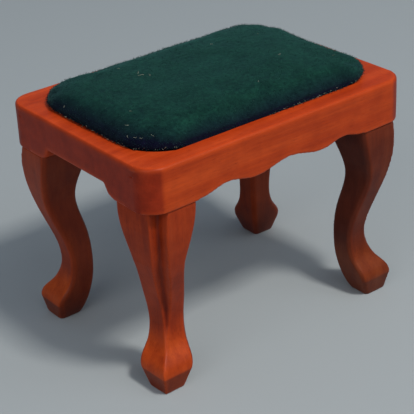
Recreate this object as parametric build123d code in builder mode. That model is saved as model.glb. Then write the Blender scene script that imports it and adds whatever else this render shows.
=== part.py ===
from build123d import *
import os
from math import sqrt

# Upholstered dressing stool in doll's-house scale, in millimetres.
# The origin is on the floor under the middle of the stool, +X runs along its long side and +Z is up.

# Overall sizes
stool_length = 46.3
stool_width = 33.5
leg_height = 28.7
rail_height = 6.6

# Seat frame in plan: rounded outer corners, a flat border round the seat well, a ledge that the seat rests on
frame_corner_radius = 3.3
frame_top_round = 0.4
border_width = 3.0
ledge_width = 1.2
well_depth = 1.6

# Long rails: lower edge sawn as three arches that meet in two pendants
pendant_lift = 0.12
left_pendant_x = -5.0
right_pendant_x = 6.7
left_arch_rise = 1.0
middle_arch_rise = 1.12
right_arch_rise = 0.85

# Short rails: lower edge sawn as one flat arch that sweeps down to the legs in two ears
short_arch_rise = 1.8
ear_length = 1.9
ear_slope = 2.2

# Leg: a square section that changes along its height, given as its inset from the frame's faces and its side
sole_inset = 1.8
sole_side = 3.75
toe_height = 2.9
toe_inset = 1.2
toe_side = 5.5
instep_height = 4.4
instep_inset = 1.6
instep_side = 5.45
throat_height = 5.8
throat_inset = 2.68
throat_side = 4.62
ankle_height = 9.2
ankle_inset = 3.7
ankle_side = 3.85
calf_inset = 2.65
calf_side = 4.5
shin_drop = 8.6
shin_inset = 0.95
shin_side = 5.38
knee_drop = 3.4
knee_inset = 0.2
knee_side = 7.35
leg_top_inset = 0.3
leg_top_side = 7.8

# Leg corners: a notched flute down the outer corner that runs out above the foot, and eased other corners
flute_top = 2.0
flute_shin = 1.6
flute_calf = 1.2
flute_ankle = 0.45
flute_throat = 0.1
leg_edge_ease = 0.45

# Dowel that holds each leg to its corner block, and the block's shaped edges
dowel_diameter = 1.5
dowel_length = 6.0
dowel_glue_gap = 0.03
block_edge_chamfer = 1.2
well_corner_hollow = 1.22

# Drop-in seat: velvet cover wrapped round padding on a board and turned under its edge
seat_clearance = 0.25
seat_corner_radius = 7.4
cover_thickness = 0.4
hem_width = 2.5
layer_gap = 0.04

# Cushion above the frame: sides drawn in at the well, a swelling over the border, more so at the ends, a low crown
swell_height = 0.8
side_overhang = 0.35
end_overhang = 1.15
swell_corner_radius = 8.0
shoulder_height = 1.9
shoulder_inset = 4.3
shoulder_corner_radius = 7.6
brow_height = 2.55
brow_inset = 7.2
brow_corner_radius = 6.0
crown_height = 2.9
crown_inset = 11.0
crown_corner_radius = 4.0

# Heights and positions that follow from the sizes
frame_top = leg_height + rail_height
ledge_z = frame_top - well_depth
half_length = stool_length / 2
half_width = stool_width / 2
rail_thickness = border_width + ledge_width
leg_inner = leg_top_inset + leg_top_side
block_side = leg_inner - rail_thickness
block_middle = rail_thickness + block_side / 2
seat_inset = border_width + seat_clearance
dowel_start = leg_height - dowel_length / 2

os.makedirs("parts", exist_ok=True)

# Outer form of the whole seat frame, which every rail is shaped to
with BuildPart() as frame_form:
    with BuildSketch(Plane.XY.offset(leg_height)):
        RectangleRounded(stool_length, stool_width, frame_corner_radius)
    extrude(amount=rail_height)
    fillet(frame_form.faces().sort_by(Axis.Z)[-1].edges(), radius=frame_top_round)

# Long rails run the full length of the frame
with BuildPart() as front_rail:
    with BuildSketch(Plane.XY.offset(leg_height)):
        with Locations((0, -half_width + rail_thickness / 2)):
            Rectangle(stool_length, rail_thickness)
    extrude(amount=rail_height - well_depth)
    with BuildSketch(Plane.XY.offset(ledge_z)):
        with Locations((0, -half_width + border_width / 2)):
            Rectangle(stool_length, border_width)
    extrude(amount=well_depth)
    add(frame_form.part, mode=Mode.INTERSECT)
    arch_end_x = half_length - leg_inner
    edge_z = leg_height + pendant_lift
    below_z = leg_height - rail_height
    wave = [
        (-arch_end_x, edge_z),
        ((left_pendant_x - arch_end_x) / 2, leg_height + left_arch_rise),
        (left_pendant_x, edge_z),
        ((left_pendant_x + right_pendant_x) / 2, leg_height + middle_arch_rise),
        (right_pendant_x, edge_z),
        ((right_pendant_x + arch_end_x) / 2, leg_height + right_arch_rise),
        (arch_end_x, edge_z),
    ]
    with BuildSketch(Plane.XZ.offset(half_width - rail_thickness / 2)):
        with BuildLine():
            Spline(*wave, tangents=[(1, 0)] * len(wave))
            Polyline(wave[-1], (arch_end_x, below_z), (-arch_end_x, below_z), wave[0])
        make_face()
    extrude(amount=rail_thickness, both=True, mode=Mode.SUBTRACT)

with BuildPart() as back_rail:
    add(front_rail.part.rotate(Axis.Z, 180))

# Short rails fit between the long ones and are notched over their ledges
with BuildPart() as left_rail:
    with BuildSketch(Plane.XY.offset(leg_height)):
        with Locations((-half_length + rail_thickness / 2, 0)):
            Rectangle(rail_thickness, stool_width - 2 * rail_thickness)
    extrude(amount=rail_height - well_depth)
    with BuildSketch(Plane.XY.offset(ledge_z)):
        with Locations((-half_length + border_width / 2, 0)):
            Rectangle(border_width, stool_width - 2 * border_width)
    extrude(amount=well_depth)
    add(frame_form.part, mode=Mode.INTERSECT)
    arch_end_y = half_width - leg_inner
    flat_end_y = arch_end_y - ear_length
    arch_z = leg_height + short_arch_rise
    with BuildSketch(Plane.YZ.offset(-half_length + rail_thickness / 2)):
        with BuildLine():
            Spline((-arch_end_y, edge_z), (-flat_end_y, arch_z), tangents=[(1, 0), (1, ear_slope)])
            Line((-flat_end_y, arch_z), (flat_end_y, arch_z))
            Spline((flat_end_y, arch_z), (arch_end_y, edge_z), tangents=[(1, -ear_slope), (1, 0)])
            Polyline((arch_end_y, edge_z), (arch_end_y, below_z), (-arch_end_y, below_z), (-arch_end_y, edge_z))
        make_face()
    extrude(amount=rail_thickness, both=True, mode=Mode.SUBTRACT)

with BuildPart() as right_rail:
    add(left_rail.part.rotate(Axis.Z, 180))

# Cabriole leg: height, inset and side of its sections from the toe up
shin_height = leg_height - shin_drop
calf_height = (ankle_height + shin_height) / 2
leg_sections = [
    (toe_height, toe_inset, toe_side),
    (instep_height, instep_inset, instep_side),
    (throat_height, throat_inset, throat_side),
    (ankle_height, ankle_inset, ankle_side),
    (calf_height, calf_inset, calf_side),
    (shin_height, shin_inset, shin_side),
    (leg_height - knee_drop, knee_inset, knee_side),
    (leg_height, leg_top_inset, leg_top_side),
]
flute_sections = [
    (throat_height, throat_inset + flute_throat),
    (ankle_height, ankle_inset + flute_ankle),
    (calf_height, calf_inset + flute_calf),
    (shin_height, shin_inset + flute_shin),
    (leg_height, leg_top_inset + flute_top),
]
leg_corner = (-half_length, -half_width, 0)
leg_front = Plane(leg_corner, x_dir=(1, 0, 0), z_dir=(0, -1, 0))
leg_flank = Plane(leg_corner, x_dir=(0, 1, 0), z_dir=(1, 0, 0))
leg_diagonal = Plane(leg_corner, x_dir=(1, 1, 0), z_dir=(1, -1, 0))
leg_across = Plane(leg_corner, x_dir=(1, -1, 0), z_dir=(-1, -1, 0))
leg_reach = 2 * leg_inner


def leg_outline(plane):
    """Bandsawn side of the leg: bevelled toe, outer curve, flat top, inner curve, flat sole."""
    outer = [(inset, height) for height, inset, side in leg_sections]
    inner = [(inset + side, height) for height, inset, side in leg_sections]
    with BuildSketch(plane) as outline:
        with BuildLine():
            Line((sole_inset, 0), outer[0])
            Spline(*outer)
            Line(outer[-1], inner[-1])
            Spline(*reversed(inner), (sole_inset + sole_side, 0))
            Line((sole_inset + sole_side, 0), (sole_inset, 0))
        make_face()
    return outline.sketch


def flute_outline(plane):
    """Strip outside the flute's inner line, which starts level with the throat of the foot."""
    line = [(inset, height) for height, inset in flute_sections]
    with BuildSketch(plane) as outline:
        with BuildLine():
            Line((-leg_inner, throat_height), line[0])
            Spline(*line)
            Line(line[-1], (-leg_inner, leg_height))
            Line((-leg_inner, leg_height), (-leg_inner, throat_height))
        make_face()
    return outline.sketch


with BuildPart() as flute_cut:
    extrude(flute_outline(leg_front), amount=leg_reach, both=True)
    extrude(flute_outline(leg_flank), amount=leg_reach, both=True, mode=Mode.INTERSECT)

with BuildPart() as front_left_leg:
    extrude(leg_outline(leg_front), amount=-leg_reach)
    extrude(leg_outline(leg_flank), amount=leg_reach, mode=Mode.INTERSECT)
    add(flute_cut.part, mode=Mode.SUBTRACT)
    inner_limit = [(sqrt(2) * (inset + side - leg_edge_ease / 2), height) for height, inset, side in leg_sections]
    sole_limit = (sqrt(2) * (sole_inset + sole_side - leg_edge_ease / 2), 0)
    with BuildSketch(leg_diagonal):
        with BuildLine():
            Spline(sole_limit, *inner_limit)
            Polyline(inner_limit[-1], (-leg_inner, leg_height), (-leg_inner, 0), sole_limit)
        make_face()
    extrude(amount=leg_reach, both=True, mode=Mode.INTERSECT)
    side_limit = [((side - leg_edge_ease) / sqrt(2), height) for height, inset, side in leg_sections]
    sole_half = (sole_side - leg_edge_ease) / sqrt(2)
    with BuildSketch(leg_across):
        with BuildLine():
            Line((-sole_half, 0), (sole_half, 0))
            Line((sole_half, 0), side_limit[0])
            Spline(*side_limit)
            Line(side_limit[-1], (-side_limit[-1][0], leg_height))
            Spline(*[(-across, height) for across, height in reversed(side_limit)])
            Line((-side_limit[0][0], toe_height), (-sole_half, 0))
        make_face()
    extrude(amount=-2 * leg_reach, mode=Mode.INTERSECT)
    with BuildSketch(Plane.XY.offset(dowel_start)):
        with Locations((-half_length + block_middle, -half_width + block_middle)):
            Circle(dowel_diameter / 2 + dowel_glue_gap)
    extrude(amount=dowel_length, mode=Mode.SUBTRACT)

with BuildPart() as front_right_leg:
    mirror(front_left_leg.part, about=Plane.YZ)

with BuildPart() as back_left_leg:
    mirror(front_left_leg.part, about=Plane.XZ)

with BuildPart() as back_right_leg:
    mirror(front_right_leg.part, about=Plane.XZ)

# Leg dowel, half in the leg and half in the corner block above it
with BuildPart() as front_left_dowel:
    with BuildSketch(Plane.XY.offset(dowel_start)):
        with Locations((-half_length + block_middle, -half_width + block_middle)):
            Circle(dowel_diameter / 2)
    extrude(amount=dowel_length)

with BuildPart() as front_right_dowel:
    mirror(front_left_dowel.part, about=Plane.YZ)

with BuildPart() as back_left_dowel:
    mirror(front_left_dowel.part, about=Plane.XZ)

with BuildPart() as back_right_dowel:
    mirror(front_right_dowel.part, about=Plane.XZ)

# Corner block: a post on the leg's top between two rails, with a hollow-faced head that rounds the well's corner
with BuildPart() as front_left_block:
    with BuildSketch(Plane.XY.offset(leg_height)):
        with Locations((-half_length + block_middle, -half_width + block_middle)):
            Rectangle(block_side, block_side)
    extrude(amount=rail_height - well_depth)
    inner_edge = front_left_block.edges().filter_by(Axis.Z).sort_by_distance((0, 0, leg_height))[0]
    chamfer(inner_edge, length=block_edge_chamfer)
    head_hollow = (border_width + leg_inner) / 2 - well_corner_hollow / sqrt(2)
    with BuildSketch(Plane((-half_length, -half_width, ledge_z))):
        with BuildLine():
            Line((border_width, border_width), (leg_inner, border_width))
            ThreePointArc((leg_inner, border_width), (head_hollow, head_hollow), (border_width, leg_inner))
            Line((border_width, leg_inner), (border_width, border_width))
        make_face()
    extrude(amount=well_depth)
    with BuildSketch(Plane.XY.offset(dowel_start)):
        with Locations((-half_length + block_middle, -half_width + block_middle)):
            Circle(dowel_diameter / 2 + dowel_glue_gap)
    extrude(amount=dowel_length, mode=Mode.SUBTRACT)

with BuildPart() as front_right_block:
    mirror(front_left_block.part, about=Plane.YZ)

with BuildPart() as back_left_block:
    mirror(front_left_block.part, about=Plane.XZ)

with BuildPart() as back_right_block:
    mirror(front_right_block.part, about=Plane.XZ)

# Cushion sections above the frame: height, inset from the frame's ends, inset from its long sides, corner radius
end_stretch = end_overhang - side_overhang
crown_sections = [
    (0, seat_inset, seat_inset, seat_corner_radius),
    (swell_height, border_width - end_overhang, border_width - side_overhang, swell_corner_radius),
    (shoulder_height, shoulder_inset - end_stretch, shoulder_inset, shoulder_corner_radius),
    (brow_height, brow_inset - end_stretch, brow_inset, brow_corner_radius),
    (crown_height, crown_inset - end_stretch, crown_inset, crown_corner_radius),
]

# Seat board, inside the cover and on its turned-under hem
board_inset = seat_inset + cover_thickness + layer_gap
with BuildPart() as seat_board:
    with BuildSketch(Plane.XY.offset(ledge_z + cover_thickness)):
        RectangleRounded(
            stool_length - 2 * board_inset,
            stool_width - 2 * board_inset,
            seat_corner_radius - cover_thickness - layer_gap,
        )
    extrude(amount=well_depth - cover_thickness)

# Padding on the board, as the cushion's form less the cover
with BuildPart() as seat_padding:
    shrink = cover_thickness + layer_gap
    for height, end_inset, side_inset, radius in crown_sections:
        with BuildSketch(Plane.XY.offset(frame_top + height * (1 - shrink / crown_height))):
            RectangleRounded(
                stool_length - 2 * (end_inset + shrink),
                stool_width - 2 * (side_inset + shrink),
                radius - shrink,
            )
    loft()

# Velvet cover: the cushion's outer form, hollow for the padding and board, open underneath inside the hem
with BuildPart() as seat_cover:
    with BuildSketch(Plane.XY.offset(ledge_z)):
        RectangleRounded(stool_length - 2 * seat_inset, stool_width - 2 * seat_inset, seat_corner_radius)
    extrude(amount=well_depth)
    for height, end_inset, side_inset, radius in crown_sections:
        with BuildSketch(Plane.XY.offset(frame_top + height)):
            RectangleRounded(stool_length - 2 * end_inset, stool_width - 2 * side_inset, radius)
    loft()
    hollow_inset = seat_inset + cover_thickness
    with BuildSketch(Plane.XY.offset(ledge_z + cover_thickness)):
        RectangleRounded(
            stool_length - 2 * hollow_inset,
            stool_width - 2 * hollow_inset,
            seat_corner_radius - cover_thickness,
        )
    extrude(amount=well_depth - cover_thickness, mode=Mode.SUBTRACT)
    for height, end_inset, side_inset, radius in crown_sections:
        with BuildSketch(Plane.XY.offset(frame_top + height * (1 - cover_thickness / crown_height))):
            RectangleRounded(
                stool_length - 2 * (end_inset + cover_thickness),
                stool_width - 2 * (side_inset + cover_thickness),
                radius - cover_thickness,
            )
    loft(mode=Mode.SUBTRACT)
    hem_inset = seat_inset + hem_width
    with BuildSketch(Plane.XY.offset(ledge_z)):
        RectangleRounded(stool_length - 2 * hem_inset, stool_width - 2 * hem_inset, seat_corner_radius - hem_width)
    extrude(amount=cover_thickness, mode=Mode.SUBTRACT)

pieces = {
    "front_rail": front_rail,
    "back_rail": back_rail,
    "left_rail": left_rail,
    "right_rail": right_rail,
    "front_left_leg": front_left_leg,
    "front_right_leg": front_right_leg,
    "back_left_leg": back_left_leg,
    "back_right_leg": back_right_leg,
    "front_left_dowel": front_left_dowel,
    "front_right_dowel": front_right_dowel,
    "back_left_dowel": back_left_dowel,
    "back_right_dowel": back_right_dowel,
    "front_left_block": front_left_block,
    "front_right_block": front_right_block,
    "back_left_block": back_left_block,
    "back_right_block": back_right_block,
    "seat_board": seat_board,
    "seat_padding": seat_padding,
    "seat_cover": seat_cover,
}
for name, piece in pieces.items():
    piece.part.label = name
    export_step(piece.part, f"parts/{name}.step")
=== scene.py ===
import math
import random

import bpy
import numpy as np
from mathutils import Matrix, Vector, noise


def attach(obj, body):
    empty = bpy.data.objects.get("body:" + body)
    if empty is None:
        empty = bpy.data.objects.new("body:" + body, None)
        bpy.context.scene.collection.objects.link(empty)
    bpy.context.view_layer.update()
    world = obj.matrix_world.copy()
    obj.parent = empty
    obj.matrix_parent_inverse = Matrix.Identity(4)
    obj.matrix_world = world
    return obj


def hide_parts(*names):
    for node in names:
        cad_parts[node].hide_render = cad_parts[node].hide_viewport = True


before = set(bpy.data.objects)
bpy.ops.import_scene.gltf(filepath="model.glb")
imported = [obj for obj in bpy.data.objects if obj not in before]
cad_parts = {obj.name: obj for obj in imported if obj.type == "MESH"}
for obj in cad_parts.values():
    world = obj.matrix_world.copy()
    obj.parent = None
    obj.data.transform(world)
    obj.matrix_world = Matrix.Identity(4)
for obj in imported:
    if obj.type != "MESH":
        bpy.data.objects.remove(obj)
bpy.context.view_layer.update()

# One millimetre, in metres
MM = 0.001

# Sizes shared with the solids, in millimetres
LENGTH, WIDTH = 46.3, 33.5
HALF_LENGTH, HALF_WIDTH = LENGTH / 2, WIDTH / 2
LEG_HEIGHT, RAIL_HEIGHT = 28.7, 6.6
FRAME_TOP = LEG_HEIGHT + RAIL_HEIGHT
LEDGE_DEPTH = 1.6
LEDGE_Z = FRAME_TOP - LEDGE_DEPTH
FRAME_RADIUS = 3.3
TOE_HEIGHT = 2.9
RAIL_THICKNESS = 4.2
BORDER = 3.0
SEAT_INSET = 3.25
SEAT_RADIUS = 7.4
COVER = 0.4
HEM_WIDTH = 2.5
CROWN = 2.9

# With these seeds, fibres and unevenness come out the same on each run
SEED = 11
random.seed(SEED)
noise.seed_set(SEED)
collection = bpy.context.scene.collection


# Mesh helpers: working meshes are in millimetres and are scaled to metres at the end

def keep(mesh, name, smooth=True):
    """An object in metres from a finished mesh in millimetres."""
    mesh.transform(Matrix.Scale(MM, 4))
    mesh.update()
    if smooth:
        mesh.polygons.foreach_set("use_smooth", [True] * len(mesh.polygons))
    mesh.name = name
    piece = bpy.data.objects.new(name, mesh)
    collection.objects.link(piece)
    return piece


def new_object(name, verts, faces, smooth=True):
    """An object in metres from faces and their points in millimetres."""
    mesh = bpy.data.meshes.new(name)
    mesh.from_pydata([tuple(v) for v in verts], [], [tuple(f) for f in faces])
    return keep(mesh, name, smooth)


def read(items, field, width, kind=float):
    """One field of a mesh's items as an array, with a row for each item."""
    values = np.empty(len(items) * width, dtype=kind)
    items.foreach_get(field, values)
    return values.reshape(-1, width)


def points_of(mesh):
    """The mesh's vertices as an array."""
    return read(mesh.vertices, "co", 3)


def normals_of(mesh):
    """The mesh's vertex normals as an array."""
    return read(mesh.vertex_normals, "vector", 3)


def edges_of(mesh):
    """The mesh's edges as pairs of vertex numbers."""
    return read(mesh.edges, "vertices", 2, np.int64)


def set_points(mesh, co):
    """Writes an array back as the mesh's vertices."""
    mesh.vertices.foreach_set("co", np.ascontiguousarray(co).reshape(-1))
    mesh.update()


# Steps of smoothing: one in, and a slightly longer one out that gives a form its size back
STEP_IN, STEP_OUT = 0.5, -0.52


def relax(co, edges, rounds, hold=None, step=STEP_IN):
    """Laplacian smoothing; hold is 1 where a point stays put."""
    count = np.bincount(edges.reshape(-1), minlength=len(co)).astype(float)
    free = step if hold is None else step * (1 - hold)[:, None]
    for _ in range(rounds):
        total = np.zeros_like(co)
        np.add.at(total, edges[:, 0], co[edges[:, 1]])
        np.add.at(total, edges[:, 1], co[edges[:, 0]])
        co = co + free * (total / count[:, None] - co)
    return co


def smooth_out(co, edges, rounds, hold=None):
    """Smoothing that keeps the form's size: each round in is followed by a round out."""
    for _ in range(rounds):
        co = relax(co, edges, 1, hold)
        co = relax(co, edges, 1, hold, STEP_OUT)
    return co


def evaluated(work):
    """The mesh of an object after its modifiers; the object itself goes."""
    depsgraph = bpy.context.evaluated_depsgraph_get()
    result = bpy.data.meshes.new_from_object(work.evaluated_get(depsgraph))
    bpy.data.objects.remove(work)
    return result


def remeshed(mesh, voxel):
    """A voxel remesh of a mesh that is in millimetres."""
    work = bpy.data.objects.new("work", mesh)
    collection.objects.link(work)
    mod = work.modifiers.new("remesh", "REMESH")
    mod.mode = "VOXEL"
    mod.voxel_size = voxel
    mod.adaptivity = 0.0
    return evaluated(work)


def store(mesh, name, values):
    """Keeps one number per vertex for the materials."""
    attribute = mesh.attributes.new(name, "FLOAT", "POINT")
    attribute.data.foreach_set("value", np.clip(values, 0, 1).astype(np.float32))


# Rounds of smoothing that edges are measured against, rounds that spread the measure,
# and how far out an edge, or in a hollow, then counts in full
EDGE_ROUNDS, SPREAD_ROUNDS = 12, 3
FULL_EDGE, FULL_PIT = 0.07, 0.05


def edge_masks(mesh, joints):
    """Stores where points stand out as an edge or lie in a hollow, but not where joints is 1."""
    co, edges = points_of(mesh), edges_of(mesh)
    out = ((co - relax(co, edges, EDGE_ROUNDS)) * normals_of(mesh)).sum(1)
    spread = relax(out[:, None], edges, SPREAD_ROUNDS)[:, 0] * (1 - joints)
    store(mesh, "edge", spread / FULL_EDGE)
    store(mesh, "pit", -spread / FULL_PIT)


# How far each seed moves through the noise, by axis
SEED_STRIDES = (13.7, 7.3, 3.1)


def wobble(co, size, amount, seed):
    """Smooth noise displacement vectors for points in millimetres."""
    shift = Vector([seed * stride for stride in SEED_STRIDES])
    return np.array([noise.noise_vector(Vector(p) / size + shift) for p in co]) * amount


def cloud(co, size, shift):
    """Smooth noise values for points in millimetres."""
    return np.array([noise.noise(Vector(p) / size + Vector(shift)) for p in co])


def eased(value, low, high):
    """0 below low, 1 above high, with a smooth step between."""
    t = np.clip((value - low) / (high - low), 0, 1)
    return t * t * (3 - 2 * t)


def faded(value, low, high):
    """1 below low, 0 above high, with a smooth step between."""
    return eased(-value, -high, -low)


def near(value, target, reach):
    """1 at the target, falling to 0 at reach."""
    return np.clip(1 - np.abs(value - target) / reach, 0, 1)


def beyond_outline(co, inset, radius):
    """How far points lie outside a rounded rectangle, in plan."""
    qx = np.abs(co[:, 0]) - (HALF_LENGTH - inset - radius)
    qy = np.abs(co[:, 1]) - (HALF_WIDTH - inset - radius)
    corner = np.hypot(np.maximum(qx, 0), np.maximum(qy, 0))
    return corner + np.minimum(np.maximum(qx, qy), 0) - radius


def beyond_frame(co):
    """How far points lie outside the frame, in plan."""
    return beyond_outline(co, 0, FRAME_RADIUS)


def beyond_seat(co):
    """How far points lie outside the seat's place in the well, in plan."""
    return beyond_outline(co, SEAT_INSET, SEAT_RADIUS)


# Wooden pieces: the solid's own shape, softened as hand-sanded work is

# Distances in from the frame's sides: where its outer skin gives way to the joints inside,
# and where the short rails' ends begin and are over
SKIN_BAND = (1.6, 2.2)
ENDS_BEGIN, ENDS_OVER = (1.8, 2.3), (4.9, 5.4)


def frame_joints(co):
    """1 along the frame's glued joints, in two parts: inside the skin, and at the short rails' ends."""
    gap_x = HALF_LENGTH - np.abs(co[:, 0])
    gap_y = HALF_WIDTH - np.abs(co[:, 1])
    inside = eased(np.minimum(gap_x, gap_y), *SKIN_BAND)
    ends = eased(gap_y, *ENDS_BEGIN) * faded(gap_y, *ENDS_OVER) * faded(gap_x, *SKIN_BAND)
    return inside, ends


# Depths under the frame's faces down to which points count as on them, and distances
# from the top edge at which its round-over ends, on the top and down the sides
FACE_THIN, FACE_DEEP = 0.06, 0.12
TOP_FLAT = (0.5, 0.8)
SIDE_START, SIDE_FLAT = 0.6, 0.8
# Step for measuring the outline's direction
PROBE = 0.01


def flush_normals(co, normals):
    """Normals of the frame's own form where its pieces lap, so that a lap's edge catches no light."""
    inside, ends = frame_joints(co)
    out = beyond_frame(co)
    slope = np.zeros_like(co)
    for axis in (0, 1):
        shift = np.zeros(3)
        shift[axis] = PROBE
        slope[:, axis] = (beyond_frame(co + shift) - beyond_frame(co - shift)) / (2 * PROBE)
    on_top = eased(co[:, 2], FRAME_TOP - FACE_DEEP, FRAME_TOP - FACE_THIN) * eased(-out, *TOP_FLAT)
    sides = faded(co[:, 2], FRAME_TOP - SIDE_FLAT, FRAME_TOP - SIDE_START)
    on_side = eased(out, -FACE_DEEP, -FACE_THIN) * sides
    top = on_top * np.maximum(inside, ends)
    face = on_side * ends
    made = normals * (1 - top - face)[:, None] + slope * face[:, None]
    made[:, 2] += top
    return made / np.linalg.norm(made, axis=1)[:, None]


# The frame's far corner is rubbed lower than the others: the photograph shows none of it above the pad.
# The wear is given by its depth, its distances from the corner, and the edge's width and height
WORN_RAILS = ("back_rail", "right_rail")
CORNER_WEAR = 0.5
WEAR_FADE = (6, 18)
WEAR_WIDTH = (-2.2, -0.3)
WEAR_LOW, WEAR_HIGH = 2.0, 0.6


def worn_corner(co):
    """Lowers the top edge towards the back right corner."""
    made = co.copy()
    far = np.hypot(co[:, 0] - HALF_LENGTH, co[:, 1] - HALF_WIDTH)
    rim = eased(beyond_frame(co), *WEAR_WIDTH) * eased(co[:, 2], FRAME_TOP - WEAR_LOW, FRAME_TOP - WEAR_HIGH)
    made[:, 2] -= CORNER_WEAR * rim * faded(far, *WEAR_FADE)
    return made


# Share of the toes' dark tint that the legs' inner faces take as painted shade; on the back legs it grows to
# all at the floor
INNER_SHADE, BACK_SHADE = 0.9, 0.57
SHADE_FADE = (1, 8)
# Heights over which the foot's painted light fades, and distances round the toe's edge over which its
# underside's painted shade does
FOOT_FADE = (6.0, 9.5)
TOE_BELOW, TOE_ABOVE = 0.25, 0.1
# How far a normal points to the stool's middle on an inner face
INNER_TURN = (0.3, 0.7)


def mark_leg(mesh, node, co):
    """Stores where a leg's foot is painted lighter as lit, and where it is painted dark: under the toe as end
    grain and shade, and on inner faces as shade.
    """
    edge_masks(mesh, 0)
    foot = faded(co[:, 2], *FOOT_FADE)
    under = faded(co[:, 2], TOE_HEIGHT - TOE_BELOW, TOE_HEIGHT + TOE_ABOVE)
    outward = normals_of(mesh)[:, :2] * np.sign(co[:, :2].mean(0))
    inner = eased(-outward.min(1), *INNER_TURN)
    shade = INNER_SHADE
    if node.startswith("back"):
        shade = BACK_SHADE + (1 - BACK_SHADE) * faded(co[:, 2], *SHADE_FADE)
        foot = foot * (1 - inner)
    store(mesh, "end", np.maximum(under, shade * inner))
    store(mesh, "foot", foot)


# Normals that show end grain (along the frame's length), which is also painted darker as shade, flat tops
# that don't, and tops painted lighter and bluer as top light
END_TURN, FLAT_TURN, TOP_LIGHT_TURN = (0.12, 0.34), (0.9, 0.96), (0.75, 0.97)
# Depths under the frame's top: joints below the first show no edge, and the top's painted light ends at the
# second
JOINT_DEPTH, TOP_LIGHT_DEPTH = 0.7, 0.6


def mark_frame(mesh, co):
    """Stores where a frame piece has end grain, painted darker also as shade, and a top painted lighter as
    lit; returns the normals it is to have.
    """
    inside, ends = frame_joints(co)
    edge_masks(mesh, np.maximum(inside, ends * (co[:, 2] < FRAME_TOP - JOINT_DEPTH)))
    normals = flush_normals(co, normals_of(mesh))
    end = eased(np.abs(normals[:, 0]), *END_TURN) * (1 - eased(normals[:, 2], *FLAT_TURN))
    store(mesh, "end", end)
    store(mesh, "top_light", eased(normals[:, 2], *TOP_LIGHT_TURN) * (co[:, 2] > FRAME_TOP - TOP_LIGHT_DEPTH))
    return normals


def solid_mesh(node):
    """A copy of a solid's mesh, in millimetres."""
    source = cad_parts[node]
    mesh = source.data.copy()
    mesh.materials.clear()
    mesh.transform(source.matrix_world)
    mesh.transform(Matrix.Scale(1 / MM, 4))
    return mesh


# Unevenness of handwork: how broad it is, and the height under which it dies away so that the feet stand flat
UNEVEN_SIZE = 5.0
STANDING = 2.0


def sanded(node, voxel, rounds, hold=None, reach=None, uneven=0.03, seed=1):
    """A softened copy of a solid that stands for it."""
    mesh = remeshed(solid_mesh(node), voxel)
    co, edges = points_of(mesh), edges_of(mesh)
    held = None if hold is None else hold(co)
    co = relax(co, edges, rounds, held)
    push = wobble(co, UNEVEN_SIZE, uneven, seed)
    push[:, 2] *= np.clip(co[:, 2] / STANDING, 0, 1)
    co = co + push
    if reach is not None:
        co = reach(co)
    if node in WORN_RAILS:
        co = worn_corner(co)
    co[:, 2] = np.maximum(co[:, 2], 0)
    set_points(mesh, co)
    if node.endswith("_leg"):
        mark_leg(mesh, node, co)
        piece = keep(mesh, node + "_wood")
    else:
        normals = mark_frame(mesh, co)
        piece = keep(mesh, node + "_wood")
        mesh.normals_split_custom_set_from_vertices(normals)
    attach(piece, "frame")
    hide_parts(node)
    return piece


# Distance from a joint over which the sanding is held off
HOLD_REACH = 0.3


def rail_hold(co, below):
    """Points where rails butt: on the inner faces below a height, and at the border's edge over the ledge."""
    across = np.abs(co[:, 1])
    inner = near(across, HALF_WIDTH - RAIL_THICKNESS, HOLD_REACH) * (co[:, 2] < below)
    edge = near(across, HALF_WIDTH - BORDER, HOLD_REACH) * (co[:, 2] > LEDGE_Z - HOLD_REACH)
    return np.clip(2 * np.maximum(inner, edge), 0, 1)


def long_rail_hold(co):
    """Points on the long rails' inner faces, where the short rails butt."""
    return rail_hold(co, math.inf)


def short_rail_hold(co):
    """Points on the short rails' ends."""
    return rail_hold(co, LEDGE_Z + HOLD_REACH)


# A lap carries a piece's face over its neighbour's edge by a hair, so that a glued joint shows no groove
LAP_RISE = 0.008
# Laps of the rails below the ledge, of the rails' borders and of the blocks, and where each lap's bend lies
LOW_LAP, BORDER_LAP, BLOCK_LAP = 0.5, 0.3, 0.35
RAIL_BEND, RAIL_BEND_WIDTH = 0.35, 0.3
BLOCK_BEND, BLOCK_BEND_WIDTH = 0.25, 0.2
# How far the well's edge comes forward to the seat, along the rails and in the corners' middles
WELL_FILL, CORNER_FILL = 0.2, 0.3
CORNER_MIDDLE = (3.1, 4.4)
HOLLOW_RADII = (8.6, 9.2)
# Above this height a point belongs to the border round the well
BORDER_Z = LEDGE_Z + 0.1
EDGE_BAND = (BORDER - 0.4, BORDER - 0.1)


def well_edge(co, axis, half):
    """1 at the border's inner edge, on rails that lie across an axis."""
    return (co[:, 2] > BORDER_Z) * eased(half - np.abs(co[:, axis]), *EDGE_BAND)


def short_rail_reach(co):
    """Laps the short rails' ends over the long rails and brings their inner edges forward to the seat."""
    low = co[:, 2] < BORDER_Z
    joint = np.where(low, HALF_WIDTH - RAIL_THICKNESS, HALF_WIDTH - BORDER)
    ends = np.clip((np.abs(co[:, 1]) - joint + RAIL_BEND) / RAIL_BEND_WIDTH, 0, 1)
    made = co.copy()
    made[:, 1] += np.sign(co[:, 1]) * ends * np.where(low, LOW_LAP, BORDER_LAP)
    moved_out = beyond_frame(made) - beyond_frame(co)
    made[:, 0] -= np.sign(co[:, 0]) * (moved_out - LAP_RISE * ends)
    made[:, 2] += LAP_RISE * ends
    made[:, 0] -= np.sign(co[:, 0]) * well_edge(co, 0, HALF_LENGTH) * WELL_FILL
    return made


def long_rail_reach(co):
    """Brings the long rails' inner edges forward to the seat."""
    made = co.copy()
    made[:, 1] -= np.sign(co[:, 1]) * well_edge(co, 1, HALF_WIDTH) * WELL_FILL
    return made


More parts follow.
